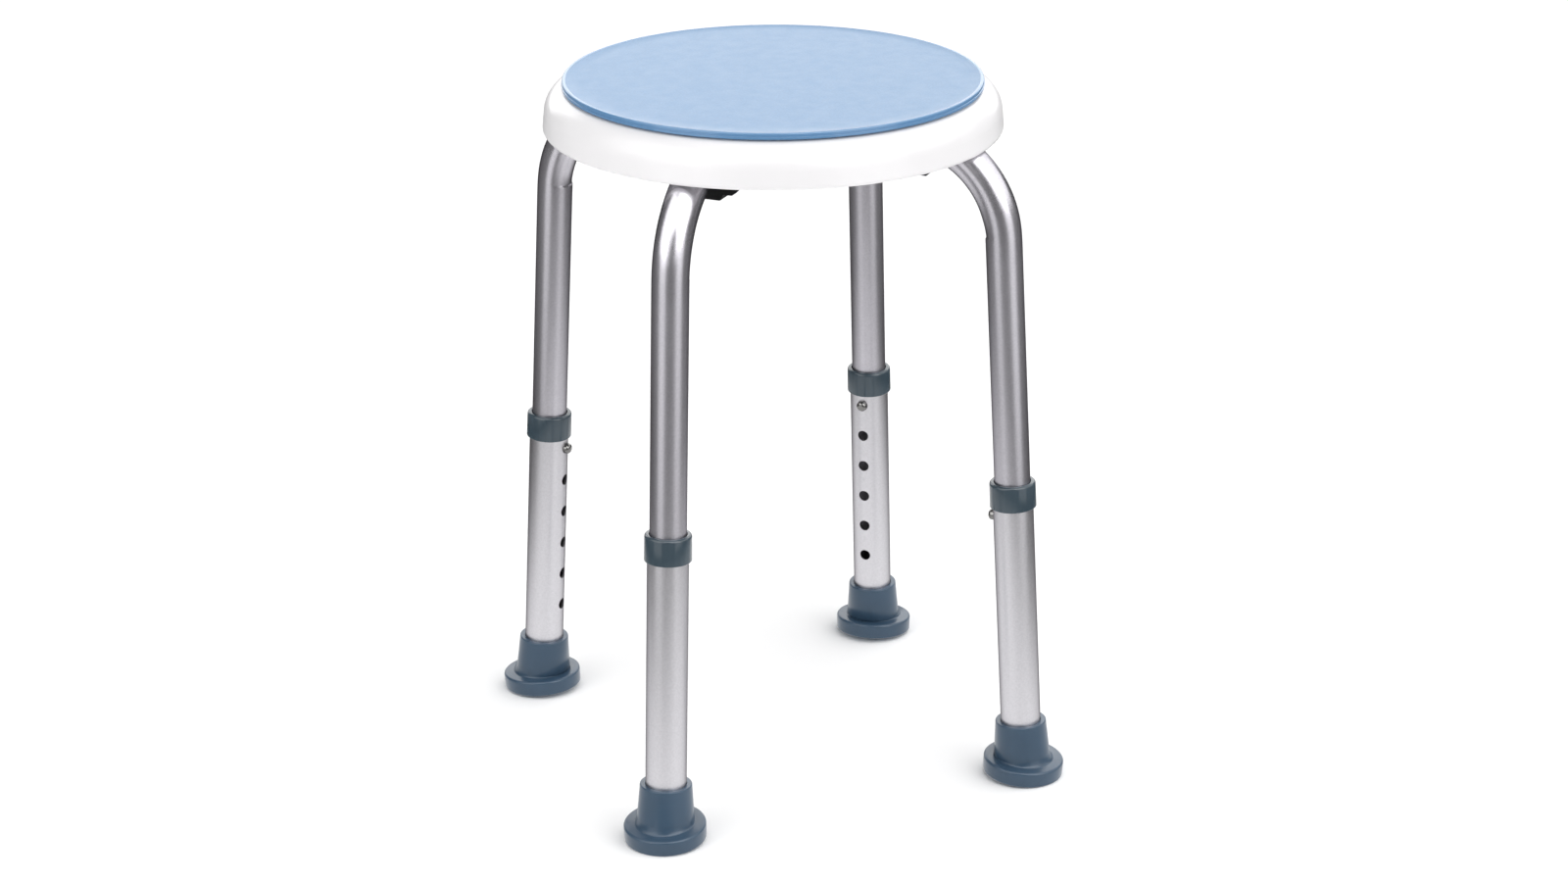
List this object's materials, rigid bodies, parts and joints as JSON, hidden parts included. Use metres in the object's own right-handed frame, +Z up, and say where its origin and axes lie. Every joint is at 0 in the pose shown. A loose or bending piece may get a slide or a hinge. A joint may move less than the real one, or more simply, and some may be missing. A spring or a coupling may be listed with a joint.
{
  "type": "shower stool",
  "caption": "Round shower stool with a swivelling blue disc on a white moulded seat and bent tube legs that telescope, lock with snap buttons and end in rubber feet.",
  "frame": {"origin": "on the floor under the middle of the seat, legs at their longest setting", "axes": "+Z up along the swivel axis, -Y to the front between two legs, +X to the right; the legs stand on the diagonals"},
  "size_m": [0.3332, 0.3332, 0.4985],
  "materials": {
    "satin_tube": "satin anodised",
    "sanded_tube": "fine sand-blasted and anodised",
    "seat_plastic": "smooth white moulding",
    "disc_plastic": "finely grained light blue",
    "plate_plastic": "plain blue moulding",
    "black_plastic": "fine moulded grain",
    "collar_plastic": "glossy blue-grey",
    "foot_rubber": "moulded blue-grey rubber",
    "button_steel": "polished",
    "spring_steel": "rolled strip",
    "zinc_steel": "zinc plated",
    "bearing_steel": "turned",
    "ball_steel": "polished",
    "white_nylon": "natural nylon"
  },
  "bodies": {
    "frame": {"upper_leg_front_left": "satin_tube", "end_plug_front_left": "black_plastic", "button_spring_front_left": "spring_steel", "clamp_cap_front_left": "black_plastic", "upper_leg_front_right": "satin_tube", "end_plug_front_right": "black_plastic", "button_spring_front_right": "spring_steel", "clamp_cap_front_right": "black_plastic", "upper_leg_back_right": "satin_tube", "end_plug_back_right": "black_plastic", "button_spring_back_right": "spring_steel", "clamp_cap_back_right": "black_plastic", "upper_leg_back_left": "satin_tube", "end_plug_back_left": "black_plastic", "button_spring_back_left": "spring_steel", "clamp_cap_back_left": "black_plastic", "clamp_screws": "zinc_steel", "hub_plate": "black_plastic", "seat_shell": "seat_plastic", "bearing_lower_ring": "bearing_steel", "pivot_bushing": "white_nylon"},
    "swivel": {"swivel_plate": "plate_plastic", "disc_cover": "disc_plastic", "bearing_upper_ring": "bearing_steel", "pivot_bolt": "zinc_steel", "pivot_washer": "zinc_steel", "pivot_nut": "zinc_steel"},
    "ball_cage": {"ball_cage": "white_nylon", "bearing_balls": "ball_steel"},
    "lower_leg_front_left": {"lower_leg_front_left": "sanded_tube", "collar_front_left": "collar_plastic", "foot_front_left": "foot_rubber", "foot_washer_front_left": "zinc_steel"},
    "button_front_left": {"snap_button_front_left": "button_steel"},
    "lower_leg_front_right": {"lower_leg_front_right": "sanded_tube", "collar_front_right": "collar_plastic", "foot_front_right": "foot_rubber", "foot_washer_front_right": "zinc_steel"},
    "button_front_right": {"snap_button_front_right": "button_steel"},
    "lower_leg_back_right": {"lower_leg_back_right": "sanded_tube", "collar_back_right": "collar_plastic", "foot_back_right": "foot_rubber", "foot_washer_back_right": "zinc_steel"},
    "button_back_right": {"snap_button_back_right": "button_steel"},
    "lower_leg_back_left": {"lower_leg_back_left": "sanded_tube", "collar_back_left": "collar_plastic", "foot_back_left": "foot_rubber", "foot_washer_back_left": "zinc_steel"},
    "button_back_left": {"snap_button_back_left": "button_steel"}
  },
  "joints": [
    {"name": "seat_swivel", "type": "hinge", "parent": "frame", "child": "swivel", "pos_m": [0, 0, 0.494], "axis": [0, 0, 1], "continuous": true},
    {"name": "ball_cage_spin", "type": "hinge", "parent": "frame", "child": "ball_cage", "pos_m": [0, 0, 0.4907], "axis": [0, 0, 1], "continuous": true},
    {"name": "leg_slide_front_left", "type": "slide", "parent": "frame", "child": "lower_leg_front_left", "axis": [0.0393, 0.0393, 0.9985], "range_m": [0, 0.127], "deforming": ["snap_button_front_left"]},
    {"name": "button_press_front_left", "type": "slide", "parent": "frame", "child": "button_front_left", "axis": [-0.706, -0.706, 0.0556], "range_m": [0, 0.0055], "stiffness_N_per_m": 2000, "springref_m": -0.003, "deforming": ["button_spring_front_left"]},
    {"name": "leg_slide_front_right", "type": "slide", "parent": "frame", "child": "lower_leg_front_right", "axis": [-0.0393, 0.0393, 0.9985], "range_m": [0, 0.127], "deforming": ["snap_button_front_right"]},
    {"name": "button_press_front_right", "type": "slide", "parent": "frame", "child": "button_front_right", "axis": [0.706, -0.706, 0.0556], "range_m": [0, 0.0055], "stiffness_N_per_m": 2000, "springref_m": -0.003, "deforming": ["button_spring_front_right"]},
    {"name": "leg_slide_back_right", "type": "slide", "parent": "frame", "child": "lower_leg_back_right", "axis": [-0.0393, -0.0393, 0.9985], "range_m": [0, 0.127], "deforming": ["snap_button_back_right"]},
    {"name": "button_press_back_right", "type": "slide", "parent": "frame", "child": "button_back_right", "axis": [0.706, 0.706, 0.0556], "range_m": [0, 0.0055], "stiffness_N_per_m": 2000, "springref_m": -0.003, "deforming": ["button_spring_back_right"]},
    {"name": "leg_slide_back_left", "type": "slide", "parent": "frame", "child": "lower_leg_back_left", "axis": [0.0393, -0.0393, 0.9985], "range_m": [0, 0.127], "deforming": ["snap_button_back_left"]},
    {"name": "button_press_back_left", "type": "slide", "parent": "frame", "child": "button_back_left", "axis": [-0.706, 0.706, 0.0556], "range_m": [0, 0.0055], "stiffness_N_per_m": 2000, "springref_m": -0.003, "deforming": ["button_spring_back_left"]}
  ],
  "couplings": [
    {"joint": "ball_cage_spin", "follows": "seat_swivel", "ratio": 0.5}
  ]
}
